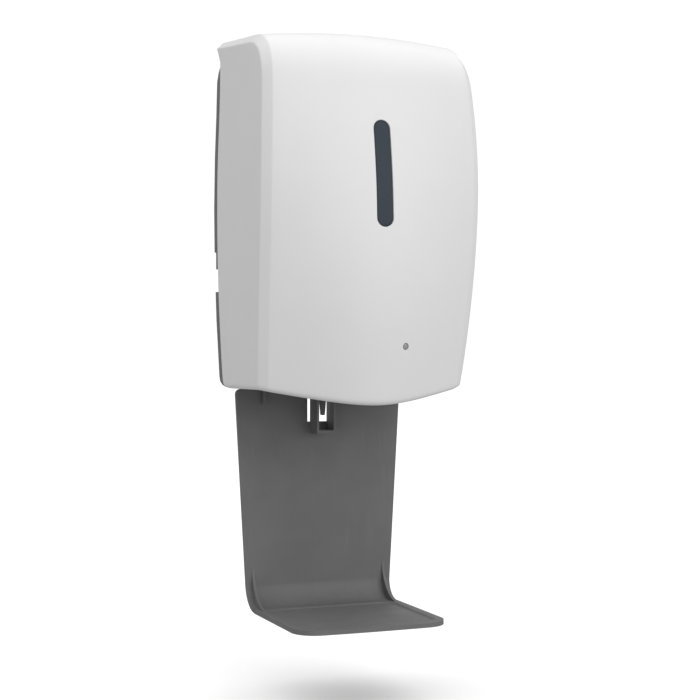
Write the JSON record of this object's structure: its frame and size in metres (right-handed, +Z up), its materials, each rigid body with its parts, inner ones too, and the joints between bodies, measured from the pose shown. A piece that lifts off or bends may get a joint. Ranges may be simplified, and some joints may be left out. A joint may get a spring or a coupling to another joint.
{
  "type": "wall mounted soap dispenser",
  "caption": "Wall mounted touch-free soap dispenser: curved white cover hinged at its foot, tinted level window, grey wall plate and a bent drip tray hooked beneath.",
  "frame": {"origin": "on the wall face of the back plate, on the centreline, at mid height of the dispenser body", "axes": "+X to the right as the user sees it, +Y into the wall, +Z up"},
  "size_m": [0.1688, 0.1353, 0.4382],
  "materials": {
    "cover_white": "satin moulded",
    "nozzle_white": "fine matt moulded",
    "grey_moulding": "fine spark-eroded grain",
    "smoked_lens": "polished smoked",
    "milky_bottle": "waxy translucent",
    "black_moulding": "matt moulded",
    "seal_rubber": "soft matt",
    "clear_hose": "soft translucent",
    "zinc_steel": "zinc plated",
    "nickel": "nickel plated",
    "acetal_white": "natural moulded",
    "circuit_board": "solder mask",
    "cell_wrap": "shrink sleeve",
    "dark_diode": "polished epoxy",
    "clear_diode": "polished epoxy"
  },
  "bodies": {
    "frame": {"back_plate": "grey_moulding", "pump_chassis": "grey_moulding", "base_panel": "grey_moulding", "nozzle": "nozzle_white", "sensor_window": "smoked_lens", "reservoir": "milky_bottle", "board_connector": "milky_bottle", "battery_box": "black_moulding", "nozzle_valve": "seal_rubber", "pump_gasket": "seal_rubber", "inlet_hose": "clear_hose", "outlet_hose": "clear_hose", "lock_strike": "zinc_steel", "strike_screw": "zinc_steel", "hinge_pin_left": "zinc_steel", "hinge_pin_right": "zinc_steel", "power_switch_body": "zinc_steel", "chassis_screw_1": "zinc_steel", "chassis_screw_2": "zinc_steel", "chassis_screw_3": "zinc_steel", "chassis_screw_4": "zinc_steel", "base_screw_1": "zinc_steel", "base_screw_2": "zinc_steel", "pump_screw_1": "zinc_steel", "pump_screw_2": "zinc_steel", "motor": "zinc_steel", "battery_contact_left": "nickel", "battery_contact_right": "nickel", "pump_body": "acetal_white", "pump_cover": "acetal_white", "sensor_board": "circuit_board", "indicator_board": "circuit_board", "main_board": "circuit_board", "battery_1": "cell_wrap", "battery_2": "cell_wrap", "battery_3": "cell_wrap", "battery_4": "cell_wrap", "ir_receiver": "dark_diode", "ir_emitter": "clear_diode", "indicator_led": "clear_diode"},
    "cover": {"front_cover": "cover_white", "viewing_window": "smoked_lens", "indicator_lens": "clear_diode", "lock_barrel": "nickel", "lock_nut": "nickel"},
    "lock": {"lock_plug": "nickel", "lock_cam": "zinc_steel", "cam_screw": "zinc_steel"},
    "tray": {"drip_tray": "grey_moulding"},
    "cap": {"reservoir_cap": "grey_moulding", "cap_seal": "seal_rubber"},
    "switch": {"power_switch_slider": "black_moulding"},
    "pump_drive": {"reduction_gear": "acetal_white", "drive_shaft": "zinc_steel", "pump_drive_gear": "acetal_white"},
    "pump_idler": {"pump_idler_gear": "acetal_white", "idler_shaft": "zinc_steel"},
    "motor_rotor": {"motor_shaft": "zinc_steel", "motor_pinion": "acetal_white"}
  },
  "joints": [
    {"name": "cover_hinge", "type": "hinge", "parent": "frame", "child": "cover", "pos_m": [0, -0.0155, -0.123], "axis": [1, 0, 0], "range_deg": [0, 75]},
    {"name": "lock_turn", "type": "hinge", "parent": "cover", "child": "lock", "pos_m": [0, -0.022, 0.11], "axis": [0, 0, -1], "range_deg": [0, 90]},
    {"name": "tray_slide", "type": "slide", "parent": "frame", "child": "tray", "axis": [0, 0, -1], "range_m": [0, 0.024]},
    {"name": "cap_turn", "type": "hinge", "parent": "frame", "child": "cap", "pos_m": [-0.035, -0.052, 0.1], "axis": [0, 0, 1], "range_deg": [0, 90]},
    {"name": "power_switch_slide", "type": "slide", "parent": "frame", "child": "switch", "axis": [1, 0, 0], "range_m": [0, 0.0044]},
    {"name": "pump_drive_spin", "type": "hinge", "parent": "frame", "child": "pump_drive", "pos_m": [0.034, -0.04, -0.092], "axis": [0, -1, 0], "continuous": true},
    {"name": "pump_idler_spin", "type": "hinge", "parent": "frame", "child": "pump_idler", "pos_m": [0.04461, -0.028, -0.10261], "axis": [0, -1, 0], "continuous": true},
    {"name": "motor_spin", "type": "hinge", "parent": "frame", "child": "motor_rotor", "pos_m": [0.01703, -0.043, -0.07503], "axis": [0, -1, 0], "continuous": true}
  ],
  "couplings": [
    {"joint": "pump_idler_spin", "follows": "pump_drive_spin", "ratio": -1},
    {"joint": "motor_spin", "follows": "pump_drive_spin", "ratio": -3}
  ]
}
